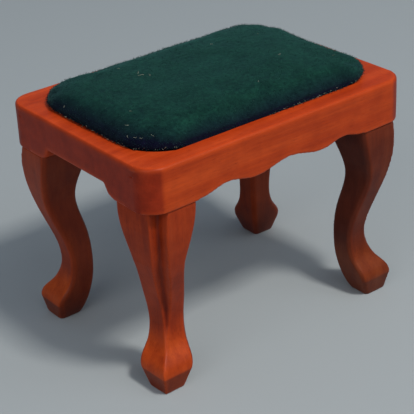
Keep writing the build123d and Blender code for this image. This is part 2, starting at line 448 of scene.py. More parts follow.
def block_reach(co):
    """Laps the corner blocks' heads over the borders and brings their hollows forward to the seat."""
    made = co.copy()
    head = co[:, 2] > BORDER_Z
    halves = np.array((HALF_LENGTH, HALF_WIDTH))
    inset = halves - np.abs(co[:, :2])
    inward = SEAT_INSET + SEAT_RADIUS - inset
    far = np.linalg.norm(inward, axis=1)
    fill = WELL_FILL + (CORNER_FILL - WELL_FILL) * eased(inset.min(1), *CORNER_MIDDLE)
    fill = fill * head * faded(far, *HOLLOW_RADII)
    made[:, :2] -= np.sign(co[:, :2]) * inward / far[:, None] * fill[:, None]
    for axis, half in enumerate(halves):
        bend = half - BORDER - BLOCK_BEND
        ends = head * np.clip((np.abs(co[:, axis]) - bend) / BLOCK_BEND_WIDTH, 0, 1)
        made[:, axis] += np.sign(co[:, axis]) * ends * BLOCK_LAP
        made[:, 2] += LAP_RISE * ends
    return made


# Leg sections as in the solids: height, inset, side
LEG_SECTIONS = np.array((
    (0, 1.8, 3.75), (2.9, 1.2, 5.5), (4.4, 1.6, 5.45), (5.8, 2.68, 4.62), (9.2, 3.7, 3.85),
    (14.65, 2.65, 4.5), (20.1, 0.95, 5.38), (25.3, 0.2, 7.35), (28.7, 0.3, 7.8),
))
# How far the near leg's fluted corner leans along the front: height, lean
CORNER_LEAN = np.array(((0, 0.2), (8, 0.3), (10, 0.5), (12, 0.75), (18.5, 0.95), (23, 1.15), (28.7, 1.4)))


def near_leg_reach(co):
    """Leans the near leg's outer corner sideways, as the photograph shows it."""
    made = co.copy()
    inset = np.interp(co[:, 2], LEG_SECTIONS[:, 0], LEG_SECTIONS[:, 1])
    half_side = np.interp(co[:, 2], LEG_SECTIONS[:, 0], LEG_SECTIONS[:, 2]) / 2
    depth = (co[:, 0] + HALF_LENGTH + co[:, 1] + HALF_WIDTH) / 2
    weight = np.clip((inset + half_side - depth) / half_side, 0, 1)
    made[:, 0] += weight * np.interp(co[:, 2], CORNER_LEAN[:, 0], CORNER_LEAN[:, 1])
    return made


CORNERS = ("front_left", "front_right", "back_left", "back_right")
# Mesh size and rounds of sanding
FRAME_VOXEL, LEG_VOXEL = 0.2, 0.15
RAIL_SOFTENING, BLOCK_SOFTENING = 3, 2
LEG_SOFTENING = {"front_left": 3, "front_right": 5, "back_left": 8, "back_right": 5}
LEG_UNEVEN, FIRST_LEG_SEED = 0.04, 5
rails, legs, blocks = {}, {}, {}
for node in ("front_rail", "back_rail"):
    rails[node] = sanded(node, FRAME_VOXEL, RAIL_SOFTENING, long_rail_hold, long_rail_reach)
for node in ("left_rail", "right_rail"):
    rails[node] = sanded(node, FRAME_VOXEL, RAIL_SOFTENING, short_rail_hold, short_rail_reach)
for seed, corner in enumerate(CORNERS, FIRST_LEG_SEED):
    lean = near_leg_reach if corner == "front_left" else None
    legs[corner] = sanded(corner + "_leg", LEG_VOXEL, LEG_SOFTENING[corner], None, lean, LEG_UNEVEN, seed)
    blocks[corner] = sanded(corner + "_block", FRAME_VOXEL, BLOCK_SOFTENING, None, block_reach)


# Padded seat

# Shares of a ring's corner radius, and how far the pad's corners are pulled in plan:
# back right, back left, front left, front right
EVEN = (1, 1, 1, 1)
PAD_CORNERS = (0.9, 0.8, 0.8, 0.74)
PAD_PULLS = ((0.15, 0.4), (-0.1, 0.15), (0.3, 0.2), (-0.5, -0.5))
TURNS = ((1, 1), (-1, 1), (-1, -1), (1, -1))
# What a side keeps straight, at least, to either side of its middle
STRAIGHT = 0.5


def outline(end_inset, side_inset, radius, count, shares=EVEN):
    """Points round a rounded rectangle, the same number in each corner whatever its size."""
    half_x, half_y = HALF_LENGTH - end_inset, HALF_WIDTH - side_inset
    points = []
    for turn, (sx, sy) in enumerate(TURNS):
        bend = min(radius * shares[turn], half_y - STRAIGHT)
        cx, cy = sx * (half_x - bend), sy * (half_y - bend)
        for k in range(count):
            angle = math.pi / 2 * (turn + k / (count - 1))
            points.append((cx + bend * math.cos(angle), cy + bend * math.sin(angle)))
    return points


def pulled(x, y):
    """A place in plan, moved as the pad's corners are."""
    right, rear = x / LENGTH + 0.5, y / WIDTH + 0.5
    weights = (right * rear, (1 - right) * rear, (1 - right) * (1 - rear), right * (1 - rear))
    x += sum(weight * pull[0] for weight, pull in zip(weights, PAD_PULLS))
    y += sum(weight * pull[1] for weight, pull in zip(weights, PAD_PULLS))
    return x, y


def ring_faces(rings, n):
    """Faces between neighbouring rings of n points each."""
    faces = []
    for r in range(rings - 1):
        for k in range(n):
            a, b = r * n + k, r * n + (k + 1) % n
            faces.append((a, b, b + n, a + n))
    return faces


def skin(name, rings, count):
    """A closed form through rings of (height, end inset, side inset, radius, corners)."""
    verts = []
    for height, end_inset, side_inset, radius, corners in rings:
        for x, y in outline(end_inset, side_inset, radius, count, corners):
            if corners is not EVEN:
                x, y = pulled(x, y)
            verts.append((x, y, height))
    n = 4 * count
    faces = ring_faces(len(rings), n)
    faces.append(tuple(reversed(range(n))))
    faces.append(tuple((len(rings) - 1) * n + k for k in range(n)))
    return new_object(name, verts, faces)


# Pad's form: height over the frame, inset from the frame's ends, inset from its long sides, corner radius
CROWN_RINGS = [
    (0.05, 2.1, 2.9, 7.7),
    (0.4, 1.9, 2.7, 7.9),
    (0.8, 1.9, 2.7, 8.0),
    (1.2, 2.2, 2.95, 7.9),
    (1.6, 2.8, 3.5, 7.7),
    (1.9, 3.5, 4.2, 7.9),
    (2.2, 4.6, 5.3, 8.0),
    (2.45, 6.2, 6.9, 7.6),
    (2.65, 8.5, 9.2, 6.4),
    (2.8, 11.5, 12.2, 4.2),
]
# The form is drawn in by the slack, which the swelling takes up again
SLACK = 0.15
PAD_RINGS = [
    (LEDGE_Z + COVER + 0.1, SEAT_INSET + SLACK, SEAT_INSET + SLACK, SEAT_RADIUS, EVEN),
    (FRAME_TOP - 0.05, SEAT_INSET + 0.1, SEAT_INSET + 0.1, SEAT_RADIUS, EVEN),
]
for h, end, side, radius in CROWN_RINGS:
    PAD_RINGS.append((FRAME_TOP + h, end + SLACK, side + SLACK, radius, PAD_CORNERS))
PAD_COUNT, PAD_VOXEL, FORM_ROUNDS = 24, 0.42, 4

# Swelling: the cloth is worked this many times larger, in so many steps, and moves no further than MOST_SWELL
FULL_SIZE = 12.0
SWELL_STEPS = 20
MOST_SWELL = 0.3
CLOTH = {
    "quality": 6,
    "mass": 0.3,
    "tension_stiffness": 12,
    "compression_stiffness": 12,
    "shear_stiffness": 6,
    "bending_stiffness": 4.0,
    "use_pressure": True,
    "uniform_pressure_force": 4.0,
    "vertex_group_mass": "held",
}
# Heights over the frame: cloth below the first is held; the crown's long smoothing sets in between the others
HELD_BELOW = 0.05
CROWN_START, CROWN_FREE = 0.7, 1.5
EVEN_ROUNDS, CROWN_ROUNDS = 8, 150


def swollen(mesh):
    """Inflates the pad as cloth, worked at full furniture size, with what lies in the well held."""
    rest = points_of(mesh)
    work = bpy.data.objects.new("pad_cloth", mesh)
    collection.objects.link(work)
    mesh.transform(Matrix.Scale(FULL_SIZE * MM, 4))
    held = work.vertex_groups.new(name="held")
    for index, z in enumerate(rest[:, 2]):
        if z < FRAME_TOP + HELD_BELOW:
            held.add([index], 1.0, "REPLACE")
    mod = work.modifiers.new("cloth", "CLOTH")
    for key, value in CLOTH.items():
        setattr(mod.settings, key, value)
    mod.settings.effector_weights.gravity = 0.0
    mod.collision_settings.use_collision = False
    mod.point_cache.frame_start = 1
    mod.point_cache.frame_end = SWELL_STEPS
    scene = bpy.context.scene
    for step in range(1, SWELL_STEPS + 1):
        scene.frame_set(step)
    result = evaluated(work)
    scene.frame_set(1)
    result.transform(Matrix.Scale(1 / (FULL_SIZE * MM), 4))
    moved = points_of(result) - rest
    far = np.linalg.norm(moved, axis=1)
    capped = moved * (np.minimum(far, MOST_SWELL) / np.maximum(far, 1e-9))[:, None]
    edges = edges_of(result)
    made = smooth_out(rest + capped, edges, EVEN_ROUNDS)
    low = 1 - eased(made[:, 2], FRAME_TOP + CROWN_START, FRAME_TOP + CROWN_FREE)
    set_points(result, smooth_out(made, edges, CROWN_ROUNDS, low))
    return result


def pad_mesh():
    """The pad's form, swollen and finely meshed."""
    rough = skin("pad_form", PAD_RINGS, PAD_COUNT)
    mesh = rough.data
    bpy.data.objects.remove(rough)
    mesh.transform(Matrix.Scale(1 / MM, 4))
    mesh = remeshed(mesh, PAD_VOXEL)
    set_points(mesh, smooth_out(points_of(mesh), edges_of(mesh), FORM_ROUNDS))
    mesh = swollen(mesh)
    work = bpy.data.objects.new("pad_work", mesh)
    collection.objects.link(work)
    mod = work.modifiers.new("fine", "SUBSURF")
    mod.levels = mod.render_levels = 1
    return evaluated(work)


# Painted light: sides that face the lamps, to the front right, are painted lighter, and as green as places
# higher up
LAMP_FACING = np.array((0.75, -0.85, 0))
LAMP_FACING_LIFT = 0.32
# Unevenness of the pad: size, place in the noise
LUMPS = (6.5, (3.1, 8.7, 1.9))
DENTS = (2.1, (7.7, 2.3, 5.1))
NAP = (0.55, (1.3, 4.9, 9.2))
LUMP_PUSH, DENT_PUSH, NAP_PUSH = 0.12, 0.03, 0.02
# The unevenness starts this far under the frame's top and grows over the second height
PUSH_START, PUSH_GROWTH = 0.2, 0.8
# Shares of the nap's lightness; the last is painted light on sides that face the lamps
NAP_MIDDLE, NAP_DENTS, NAP_FINE, NAP_LAMP_FACING = 0.5, 0.2, 0.4, 0.5
# Points over the border, from a little under its top upwards, are lifted clear of it
OVER_DEPTH, BORDER_CLEAR = 0.4, 0.03
# Their normals rise at least this much, unless they face straight down
RIM_RISE, RIM_UNDER = 0.1, -0.9


def make_pad():
    """Velvet pad: a stuffed crown, finely meshed, with its nap and painted light on sides that face the
    lamps.
    """
    mesh = pad_mesh()
    co, normals = points_of(mesh), normals_of(mesh)
    above = np.clip((co[:, 2] - FRAME_TOP + PUSH_START) / PUSH_GROWTH, 0, 1)
    lumps, dents, nap = cloud(co, *LUMPS), cloud(co, *DENTS), cloud(co, *NAP)
    push = above * (LUMP_PUSH * lumps + DENT_PUSH * dents + NAP_PUSH * nap)
    co = co + normals * push[:, None]
    over_border = (beyond_seat(co) > 0) & (co[:, 2] > FRAME_TOP - OVER_DEPTH)
    co[over_border, 2] = np.maximum(co[over_border, 2], FRAME_TOP + BORDER_CLEAR)
    set_points(mesh, co)
    # Painted light: how far each point faces the lamps lightens its nap and greens it as if higher up
    lie = normals @ LAMP_FACING
    store(mesh, "nap", NAP_MIDDLE + NAP_DENTS * dents + NAP_FINE * nap + NAP_LAMP_FACING * lie)
    store(mesh, "crown", (co[:, 2] - FRAME_TOP) / CROWN + LAMP_FACING_LIFT * np.maximum(lie, 0))
    normals = normals_of(mesh)
    rim = over_border & (normals[:, 2] > RIM_UNDER)
    normals[rim, 2] = np.maximum(normals[rim, 2], RIM_RISE)
    piece = keep(mesh, "velvet_pad")
    mesh.normals_split_custom_set_from_vertices(normals / np.linalg.norm(normals, axis=1)[:, None])
    return piece


pad = make_pad()
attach(pad, "seat")
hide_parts("seat_cover")

# The hem's section: inset, corner radius, height, and 1 where its loose edge wanders
HEM_LEVELS = (
    (SEAT_INSET + 0.1, SEAT_RADIUS, LEDGE_Z + COVER + 0.25, 0),
    (SEAT_INSET + 0.08, SEAT_RADIUS, LEDGE_Z + 0.22, 0),
    (SEAT_INSET + 0.15, SEAT_RADIUS, LEDGE_Z + 0.08, 0),
    (SEAT_INSET + 1.2, SEAT_RADIUS - 1.1, LEDGE_Z + 0.06, 0),
    (SEAT_INSET + HEM_WIDTH - 0.1, SEAT_RADIUS - 2.4, LEDGE_Z + 0.08, 1),
    (SEAT_INSET + HEM_WIDTH, SEAT_RADIUS - 2.5, LEDGE_Z + 0.2, 1),
    (SEAT_INSET + HEM_WIDTH - 0.05, SEAT_RADIUS - 2.5, LEDGE_Z + COVER - 0.02, 1),
)
HEM_COUNT = 40
HEM_WANDER, WANDER_SIZE, WANDER_PLACE = 0.28, 2.2, 4.0


def make_hem():
    """The cover's raw edge, turned under the board and glued, with an uneven inner edge."""
    verts = []
    for inset, radius, height, loose in HEM_LEVELS:
        for x, y in outline(inset, inset, radius, HEM_COUNT):
            place = Vector((x / WANDER_SIZE, y / WANDER_SIZE, WANDER_PLACE))
            pull = loose * HEM_WANDER * noise.noise(place)
            length = math.hypot(x, y)
            verts.append((x * (1 + pull / length), y * (1 + pull / length), height))
    n = 4 * HEM_COUNT
    faces = [tuple(reversed(face)) for face in ring_faces(len(HEM_LEVELS), n)]
    top = (len(HEM_LEVELS) - 1) * n
    for k in range(n):
        faces.append((k, (k + 1) % n, top + (k + 1) % n, top + k))
    return new_object("velvet_hem", verts, faces)


hem = make_hem()
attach(hem, "seat")

# The wadding stays this far inside the pad
WADDING_SHRINK = COVER + 0.6
WADDING_COUNT = 20


def make_wadding():
    """Layer of wadding between board and cover."""
    first = SEAT_INSET + WADDING_SHRINK
    rings = [(FRAME_TOP + 0.02, first, first, SEAT_RADIUS - COVER, EVEN)]
    for h, end, side, radius in CROWN_RINGS:
        height = FRAME_TOP + h * (1 - WADDING_SHRINK / CROWN) + 0.03
        rings.append((height, end + WADDING_SHRINK, side + WADDING_SHRINK, radius - COVER, EVEN))
    return skin("seat_wadding", rings, WADDING_COUNT)


wadding = make_wadding()
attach(wadding, "seat")
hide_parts("seat_padding")


# Loose fibres: pile that stands off the pad, fibres at its foot and a little pale lint

# A direction that hardly any strand follows, and the share of its width that a strand loses to its tip
ASKEW = Vector((0.31, 0.52, 0.79))
TAPER = 0.6
STRAND_SIDES = 3


def fibres(name, paths, width):
    """Thin strands along short paths in millimetres."""
    verts, faces = [], []
    for path in paths:
        start = len(verts)
        last = len(path) - 1
        for i, p in enumerate(path):
            ahead = Vector(path[min(i + 1, last)]) - Vector(path[max(i - 1, 0)])
            ahead.normalize()
            side = ahead.cross(ASKEW)
            side.normalize()
            other = ahead.cross(side)
            thick = width * (1 - TAPER * i / last)
            for k in range(STRAND_SIDES):
                a = 2 * math.pi * k / STRAND_SIDES
                verts.append(Vector(p) + (side * math.cos(a) + other * math.sin(a)) * thick)
        for a, b, c, d in ring_faces(len(path), STRAND_SIDES):
            faces.append((start + a, start + b, start + c, start + d))
        end = start + STRAND_SIDES * last
        faces.append((start + 2, start + 1, start))
        faces.append((end, end + 1, end + 2))
    return new_object(name, verts, faces)


# Height in metres from which rays look down on the pad
ABOVE_PAD = 0.06


def on_pad(x, y):
    """Point, in millimetres, and normal on the pad's top at a place in plan."""
    hit, place, normal, _ = pad.ray_cast(Vector((x * MM, y * MM, ABOVE_PAD)), Vector((0, 0, -1)))
    return (place / MM, normal) if hit else (None, None)


def scatter(spread):
    """A random offset, up to the spread along each axis."""
    return Vector([random.uniform(-spread, spread) for _ in range(3)])


# How much a fibre's path turns at each step
WANDER = 0.5


def curl(start, direction, length, steps):
    """A short wandering path."""
    point, heading, path = Vector(start), Vector(direction).normalized(), [Vector(start)]
    for _ in range(steps):
        heading = (heading + scatter(WANDER)).normalized()
        point = point + heading * (length / steps)
        path.append(point.copy())
    return path


# Pile: how many fibres, their lengths, steps and lean, and the depth of their roots
PILE_COUNT, PILE_STEPS = 6500, 2
PILE_SHORT, PILE_LONG = 0.15, 0.36
PILE_LEAN, PILE_ROOT = 0.7, 0.03
# Heights over the frame: the pile starts at the first, thins out from the second, and clears the third
PILE_START, PILE_THINS, PILE_CLEAR = 0.1, 1.4, 0.05
PILE_THINNING = 0.5


def pile():
    """Fibres that stand off the pad, fewer towards its middle, and how far each faces the lamps, for its
    painted light.
    """
    co, normals = points_of(pad.data) / MM, normals_of(pad.data)
    paths, lie = [], []
    while len(paths) < PILE_COUNT:
        index = random.randrange(len(co))
        rise = co[index][2] - FRAME_TOP
        if rise < PILE_START or random.random() < PILE_THINNING * max(0.0, rise - PILE_THINS):
            continue
        lean = Vector(normals[index]) + scatter(PILE_LEAN)
        start = Vector(co[index]) - Vector(normals[index]) * PILE_ROOT
        path = curl(start, lean, random.uniform(PILE_SHORT, PILE_LONG), PILE_STEPS)
        if min(point.z for point in path) > FRAME_TOP + PILE_CLEAR:
            paths.append(path)
            lie.append(normals[index] @ LAMP_FACING)
    return paths, lie


# The pad's foot: its heights over the frame, and how far it hangs over the well's edge
FOOT_LOW, FOOT_HIGH, FOOT_OUT = 0.03, 0.4, 0.2
# Fibres there: shortest length, distance from the pad, lean sideways, down and up, and height over the border
FRAY_SHORT, FRAY_OFF = 0.15, 0.02
FRAY_ASIDE, FRAY_DOWN, FRAY_UP = 0.9, -0.3, 0.5
FRAY_HEIGHT = 0.06


def frayed(count, longest, steps):
    """Fibres from under the pad's edge that lie on the border, and how far each faces the lamps, for its
    painted light.
    """
    co, normals = points_of(pad.data) / MM, normals_of(pad.data)
    rise = co[:, 2] - FRAME_TOP
    foot = np.flatnonzero((rise > FOOT_LOW) & (rise < FOOT_HIGH) & (beyond_seat(co) > FOOT_OUT))
    paths, lie = [], []
    while len(paths) < count:
        index = int(random.choice(foot))
        out = Vector((normals[index][0], normals[index][1], 0))
        start = Vector(co[index]) + out * FRAY_OFF
        lean_x = random.uniform(-FRAY_ASIDE, FRAY_ASIDE)
        lean_y = random.uniform(-FRAY_ASIDE, FRAY_ASIDE)
        lean_z = random.uniform(FRAY_DOWN, FRAY_UP)
        lean = out + Vector((lean_x, lean_y, lean_z))
        path = curl(start, lean, random.uniform(FRAY_SHORT, longest), steps)
        for point in path:
            point.z = max(point.z, FRAME_TOP + FRAY_HEIGHT)
        paths.append(path)
        lie.append(normals[index] @ LAMP_FACING)
    return paths, lie


# Lint: points along a fibre, height over the pad, its waves, and the most it turns at a point
LINT_POINTS = 7
LINT_HEIGHT, LINT_WAVE, LINT_WAVES = 0.06, 0.05, 1.1
LINT_TURN = 0.5
# Lint stays off the pad's lowest part
LINT_LOW = 0.02


def lint(places):
    """Pale fibres that lie on the pad at given places in plan."""
    paths = []
    for x, y, length, turn in places:
        path = []
        for step in range(LINT_POINTS):
            spot, up = on_pad(x, y)
            if spot is None or spot.z < FRAME_TOP + LINT_LOW:
                break
            path.append(spot + up * (LINT_HEIGHT + LINT_WAVE * math.sin(step * LINT_WAVES)))
            turn += random.uniform(-LINT_TURN, LINT_TURN)
            x += math.cos(turn) * length / (LINT_POINTS - 1)
            y += math.sin(turn) * length / (LINT_POINTS - 1)
        if len(path) > 2:
            paths.append(path)
    return paths


# Strands take the pad's painted top sheen a little more strongly at the same height, and are painted lighter
# where they face the lamps
STRAND_TOP_SHEEN = 1.1
STRAND_NAP, STRAND_LAMP_FACING, STRAND_AWAY_FROM_LAMPS = 0.65, 0.35, -0.6
STRAND_WIDTH, LINT_WIDTH = 0.026, 0.035
# Fibres at the pad's foot, green ones and pale ones: count, longest, steps
SKIRT, LOOSE = (1500, 0.6, 2), (280, 0.45, 3)
standing, standing_lamp_facing = pile()
skirt, skirt_lamp_facing = frayed(*SKIRT)
strands = standing + skirt
fringe = fibres("velvet_fringe", strands, STRAND_WIDTH)
strand_lamp_facing = np.repeat(standing_lamp_facing + skirt_lamp_facing, len(fringe.data.vertices) // len(strands))
strand_rise = points_of(fringe.data)[:, 2] / MM - FRAME_TOP
# Painted sheen by height, and painted light where a strand faces the lamps
store(fringe.data, "crown", strand_rise / CROWN * STRAND_TOP_SHEEN + LAMP_FACING_LIFT * np.maximum(strand_lamp_facing, 0))
store(fringe.data, "nap", STRAND_NAP + STRAND_LAMP_FACING * np.maximum(strand_lamp_facing, STRAND_AWAY_FROM_LAMPS))
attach(fringe, "seat")
# Pale fibres that lie on the pad in the photograph, and a few more: place in plan, length, direction
SPECKS = (
    (-8.6, 4.6, 1.2, 0.3), (-7.8, 2.8, 0.8, 1.2), (-8.2, 3.7, 0.9, 2.4), (-16.7, -4.7, 0.3, 0.5),
    (-18.6, -7.0, 0.6, 1.9), (-19.9, -8.4, 0.4, -1.2), (-19.6, -9.4, 0.4, -1.0), (-19.1, -10.1, 0.4, -0.9),
    (-17.9, -10.9, 0.5, -0.7), (-20.4, 5.6, 0.3, 1.5), (2.0, -9.0, 0.5, 0.9), (10.5, -4.0, 0.4, 2.0),
    (6.0, 6.5, 0.4, 0.2), (14.0, 5.0, 0.4, 1.4), (-9.0, 8.5, 0.4, 2.2), (16.5, -8.5, 0.5, 0.4),
)
loose, _ = frayed(*LOOSE)
fuzz = fibres("pale_lint", lint(SPECKS) + loose, LINT_WIDTH)
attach(fuzz, "seat")


# Materials

def set_inputs(made, values):
    """Sets a node's own sockets by name."""
    for key, value in values.items():
        made.inputs[key].default_value = value


def material(name):
    """A node material with its shader, node maker and linker."""
    mat = bpy.data.materials.new(name)
    mat.use_nodes = True
    tree = mat.node_tree
    shader = tree.nodes["Principled BSDF"]

    def node(kind, **values):
        made = tree.nodes.new(kind)
        for key, value in values.items():
            if hasattr(made, key):
                setattr(made, key, value)
            else:
                made.inputs[key].default_value = value
        return made

    def link(a, out, b, into):
        tree.links.new(a.outputs[out], b.inputs[into])

    return mat, shader, node, link


def scaled(node, link, scale):
    """Object coordinates in millimetres, stretched by axis."""
    place = node("ShaderNodeTexCoord")
    made = node("ShaderNodeMapping")
    made.inputs["Scale"].default_value = [s / MM for s in scale]
    link(place, "Object", made, "Vector")
    return made


def noise_at(node, link, place, scale, detail, roughness):
    """A noise texture on mapped coordinates."""
    made = node("ShaderNodeTexNoise", Scale=scale, Detail=detail, Roughness=roughness)
    link(place, "Vector", made, "Vector")
    return made


def bumped(node, link, source, strength, distance, under=None):
    """A bump from a noise, laid over another bump where one is given."""
    made = node("ShaderNodeBump", Strength=strength, Distance=distance)
    link(source, "Fac", made, "Height")
    if under is not None:
        link(under, "Normal", made, "Normal")
    return made


def ramp(node, link, source, stops):
    """A colour, as (node, output), from a ramp through (position, colour) stops over a node's Fac."""
    made = node("ShaderNodeValToRGB")
    elements = made.color_ramp.elements
    while len(elements) < len(stops):
        elements.new(0.5)
    for element, (position, colour) in zip(elements, stops):
        element.position = position
        element.color = (*colour, 1)
    link(source, "Fac", made, "Fac")
    return made, "Color"


# Sockets of a mix node that mixes colours
MIX_FACTOR, MIX_A, MIX_B, MIX_RESULT = 0, 6, 7, 2


def mixed(node, factor, a, b, blend="MULTIPLY"):
    """A mix, as (node, output), of two colours; each input is a number, a colour or a (node, output) pair."""
    made = node("ShaderNodeMix", data_type="RGBA", blend_type=blend)
    for value, socket in ((factor, MIX_FACTOR), (a, MIX_A), (b, MIX_B)):
        if isinstance(value, tuple) and hasattr(value[0], "outputs"):
            made.id_data.links.new(value[0].outputs[value[1]], made.inputs[socket])
        elif isinstance(value, tuple):
            made.inputs[socket].default_value = (*value, 1)
        else:
            made.inputs[socket].default_value = value
    return made, MIX_RESULT


# Wood's noises: scale per millimetre, detail, roughness
BANDS, FIBRE = (0.7, 3.0, 0.55), (4.2, 4.0, 0.65)
PORES, BLOTCHES = (5.5, 2.0, 0.5), (0.3, 3.0, 0.6)
# How much longer than wide the grain's noises are, as a scale along the grain
FIBRE_SCALE, PORE_SCALE = 0.05, 0.14
# Where the bands' dark, middle and light tones lie, and the shades that are laid over them
BAND_STOPS = (0.30, 0.5, 0.72)
STREAK_SHADES = ((0.35, (0.80, 0.74, 0.70)), (0.62, (1.08, 1.08, 1.06)))
PORE_SHADES = ((0.62, (1, 1, 1)), (0.72, (0.62, 0.52, 0.48)))
BLOTCH_SHADES = ((0.35, (0.72, 0.62, 0.58)), (0.65, (1.1, 1.12, 1.12)))
STREAK_SHARE, PORE_SHARE = 0.5, 0.6
# End grain is darkened, and on the frame's ends also painted darker as shade; hollows are darkened
END_GRAIN_AND_SHADE_TINT, HOLLOW_TINT = (0.6, 0.42, 0.6), (0.50, 0.40, 0.42)
# Rubbed edges go this far towards the light tone, brightened; the same mark paints a highlight along the
# edges
RUB_AND_HIGHLIGHT_SHARE, RUB_AND_HIGHLIGHT_GAIN = 0.32, 1.4
# Roughness either side of a wood's polish, and bumps: strength, distance in metres
SMOOTHER, ROUGHER = 0.08, 0.14
FIBRE_BUMP, PORE_BUMP = (0.25, 0.00005), (0.25, 0.00006)
VARNISH = {"Specular IOR Level": 0.14, "Coat Weight": 0.04, "Coat Roughness": 0.3}


def along_grain(axis, scale):
    """Scales by axis that stretch a noise along one of them."""
    return [scale if i == axis else 1.0 for i in range(3)]


def wood(name, axis, tones, polish=0.42, mottle=0.5, end=END_GRAIN_AND_SHADE_TINT, foot=None, top_light=None):
    """Stained wood with its grain along an axis, pores, end grain also painted as shade, rubbed edges that
    carry a painted highlight, darker hollows, and painted light and shade from its masks.
    """
    mat, shader, node, link = material(name)
    fibre_map = scaled(node, link, along_grain(axis, FIBRE_SCALE))
    pore_map = scaled(node, link, along_grain(axis, PORE_SCALE))
    even_map = scaled(node, link, (1, 1, 1))
    grain = noise_at(node, link, fibre_map, *BANDS)
    fibre = noise_at(node, link, fibre_map, *FIBRE)
    pores = noise_at(node, link, pore_map, *PORES)
    blotches = noise_at(node, link, even_map, *BLOTCHES)
    colour = ramp(node, link, grain, list(zip(BAND_STOPS, tones)))
    for source, shades, share in (
        (fibre, STREAK_SHADES, STREAK_SHARE),
        (pores, PORE_SHADES, PORE_SHARE),
        (blotches, BLOTCH_SHADES, mottle),
    ):
        shade = ramp(node, link, source, shades)
        colour = mixed(node, share, colour, shade)
    # Masks: painted light on feet and tops, painted shade with end grain, under toes and on inner faces, and
    # darker hollows
    for attribute, tint in (("foot", foot), ("top_light", top_light), ("end", end), ("pit", HOLLOW_TINT)):
        if tint is not None:
            mask = node("ShaderNodeAttribute", attribute_name=attribute)
            colour = mixed(node, (mask, "Fac"), colour, tint)
    edge = node("ShaderNodeAttribute", attribute_name="edge")
    rub_and_highlight = node("ShaderNodeMath", operation="MULTIPLY")
    rub_and_highlight.inputs[1].default_value = RUB_AND_HIGHLIGHT_SHARE
    link(edge, "Fac", rub_and_highlight, 0)
    bare_and_highlight = tuple(RUB_AND_HIGHLIGHT_GAIN * value for value in tones[-1])
    worn_and_highlight = mixed(node, (rub_and_highlight, "Value"), colour, bare_and_highlight, "MIX")
    link(*worn_and_highlight, shader, "Base Color")
    rough = node("ShaderNodeMapRange")
    set_inputs(rough, {"To Min": polish - SMOOTHER, "To Max": polish + ROUGHER})
    link(fibre, "Fac", rough, "Value")
    link(rough, "Result", shader, "Roughness")
    raised = bumped(node, link, fibre, *FIBRE_BUMP)
    pitted = bumped(node, link, pores, *PORE_BUMP, raised)
    link(pitted, "Normal", shader, "Normal")
    set_inputs(shader, VARNISH)
    return mat


# Velvet's noises, and the heights on the crown between which its sides' painted shade gives way to its top's
# painted sheen
DRIFT, TUFTS = (0.28, 3.0, 0.6), (3.2, 4.0, 0.7)
SIDE_STOP, TOP_STOP = 0.45, 0.9
# Shades that are laid over the colour, and their shares; the nap's shades also carry painted light on sides
# that face the lamps
DRIFT_SHADES = ((0.3, (0.8, 0.8, 0.8)), (0.7, (1.2, 1.2, 1.2)))
TUFT_SHADES = ((0.3, (0.5, 0.5, 0.55)), (0.7, (1.45, 1.4, 1.35)))
NAP_AND_LIGHT_SHADES = ((0.1, (0.38, 0.38, 0.6)), (0.95, (1.85, 1.85, 1.55)))
DRIFT_SHARE, TUFT_SHARE, NAP_SHARE = 0.8, 0.8, 0.7
TUFT_BUMP = (0.5, 0.0001)
PILE_SHEEN = {
    "Roughness": 0.95,
    "Specular IOR Level": 0.05,
    "Sheen Weight": 0.24,
    "Sheen Roughness": 0.4,
    "Sheen Tint": (0.25, 0.74, 0.68, 1),
}


def velvet(name, side, top):
    """Cut-pile velvet: sides painted dark as shade, top painted greener as sheen, with tufts, and sides that
    face the lamps painted lighter.
    """
    mat, shader, node, link = material(name)
    place = scaled(node, link, (1, 1, 1))
    drift = noise_at(node, link, place, *DRIFT)
    tufts = noise_at(node, link, place, *TUFTS)
    crown = node("ShaderNodeAttribute", attribute_name="crown")
    nap = node("ShaderNodeAttribute", attribute_name="nap")
    colour = ramp(node, link, crown, ((SIDE_STOP, side), (TOP_STOP, top)))
    for source, shades, share in (
        (drift, DRIFT_SHADES, DRIFT_SHARE),
        (tufts, TUFT_SHADES, TUFT_SHARE),
        (nap, NAP_AND_LIGHT_SHADES, NAP_SHARE),
    ):
        shade = ramp(node, link, source, shades)
        colour = mixed(node, share, colour, shade)
    link(*colour, shader, "Base Color")
    set_inputs(shader, PILE_SHEEN)
    bump = bumped(node, link, tufts, *TUFT_BUMP)
    link(bump, "Normal", shader, "Normal")
    return mat


# Finish of lint and wadding: where its two colours lie, its noise's detail and roughness, and its bump
PLAIN_STOPS = (0.35, 0.65)
PLAIN_NOISE = (4.0, 0.6)
PLAIN_BUMP = (0.3, 0.0001)


def plain(name, colours, scale, roughness):
    """A mottled finish for fibres and wadding."""
    mat, shader, node, link = material(name)
    place = scaled(node, link, (1, 1, 1))
    mottle = noise_at(node, link, place, scale, *PLAIN_NOISE)
    colour = ramp(node, link, mottle, list(zip(PLAIN_STOPS, colours)))
    link(*colour, shader, "Base Color")
    set_inputs(shader, {"Roughness": roughness, "Specular IOR Level": 0.1})
    bump = bumped(node, link, mottle, *PLAIN_BUMP)
    link(bump, "Normal", shader, "Normal")
    return mat


def dress(obj, mat):
    """Gives an object one material."""
    obj.data.materials.clear()
    obj.data.materials.append(mat)


# Tones of wood, each from dark to light, and how they are tinted
STAIN = ((0.36, 0.035, 0.004), (0.42, 0.045, 0.005), (0.475, 0.058, 0.008))
DOWEL_TONES = ((0.42, 0.28, 0.16), (0.56, 0.40, 0.24), (0.66, 0.50, 0.32))
BOARD_TONES = ((0.46, 0.33, 0.20), (0.60, 0.46, 0.30), (0.70, 0.56, 0.38))
# Painted top light: the frame's upward faces are painted lighter and bluer
TOP_LIGHT_TINT = (1.3, 1.22, 1.5)
